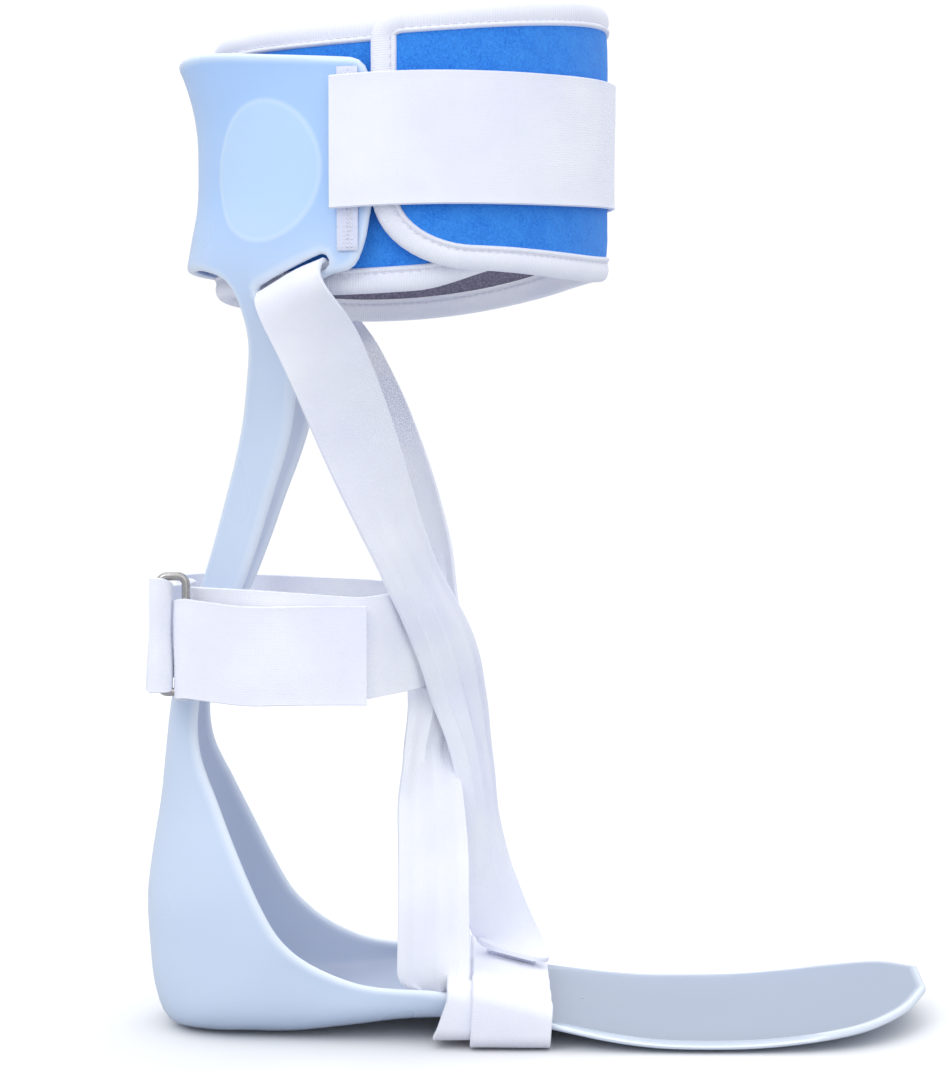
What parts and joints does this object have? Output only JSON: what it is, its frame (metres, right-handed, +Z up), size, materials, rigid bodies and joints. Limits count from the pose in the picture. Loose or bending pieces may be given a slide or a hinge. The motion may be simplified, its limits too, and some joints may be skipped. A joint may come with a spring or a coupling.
{
  "type": "ankle foot orthosis",
  "caption": "Moulded plastic leaf brace for a right ankle and foot, with uprights, a padded calf cuff and webbing straps that open.",
  "frame": {"origin": "middle of the bounding box at the floor under the heel and the ball of the foot", "axes": "+Z up along the leg, +X towards the toes, +Y towards the inner side of the right foot"},
  "size_m": [0.256, 0.1404, 0.3258],
  "materials": {
    "shell": "satin translucent polypropylene",
    "loop_cloth": "brushed loop fabric over foam",
    "binding": "woven edge binding",
    "webbing": "loop webbing",
    "hook": "hook tape",
    "rivet": "satin",
    "ring": "dark nickel"
  },
  "bodies": {
    "root": {"shell": "shell", "calf_pad": "loop_cloth", "calf_pad_binding": "binding", "pad_hook_disc_lateral": "hook", "pad_hook_disc_medial": "hook", "calf_strap_anchor": "webbing", "calf_strap_rivet_lower": "rivet", "calf_strap_rivet_upper": "rivet", "calf_hook_strip": "hook", "lateral_strap": "webbing", "lateral_strap_hook": "hook", "medial_strap": "webbing", "medial_strap_hook": "hook", "sole_wrap_front": "webbing", "sole_wrap_rear": "webbing", "ankle_strap": "webbing", "ankle_strap_rivet": "rivet"},
    "calf_strap": {"calf_strap": "webbing", "calf_strap_hook": "hook"},
    "pad_flap": {"pad_flap": "loop_cloth", "pad_flap_binding": "binding"},
    "ankle_ring": {"ankle_ring": "ring"},
    "ankle_strap_end": {"ankle_strap_end": "webbing", "ankle_strap_hook": "hook"}
  },
  "joints": [
    {"name": "calf_strap_open", "type": "hinge", "parent": "root", "child": "calf_strap", "pos_m": [-0.00925, 0.05916, 0.28], "axis": [0, 0, 1], "range_deg": [0, 90]},
    {"name": "pad_flap_open", "type": "hinge", "parent": "root", "child": "pad_flap", "pos_m": [-0.00925, 0.05916, 0.28], "axis": [0, 0, 1], "range_deg": [0, 72]},
    {"name": "ankle_ring_swivel", "type": "hinge", "parent": "root", "child": "ankle_ring", "pos_m": [-0.119, -0.0358, 0.127], "axis": [0, 0, -1], "range_deg": [0, 25]},
    {"name": "ankle_strap_end_open", "type": "hinge", "parent": "ankle_ring", "child": "ankle_strap_end", "pos_m": [-0.1108, -0.0358, 0.127], "axis": [0, 0, -1], "range_deg": [0, 120]}
  ],
  "couplings": [
    {"joint": "pad_flap_open", "follows": "calf_strap_open", "ratio": 0.8}
  ]
}
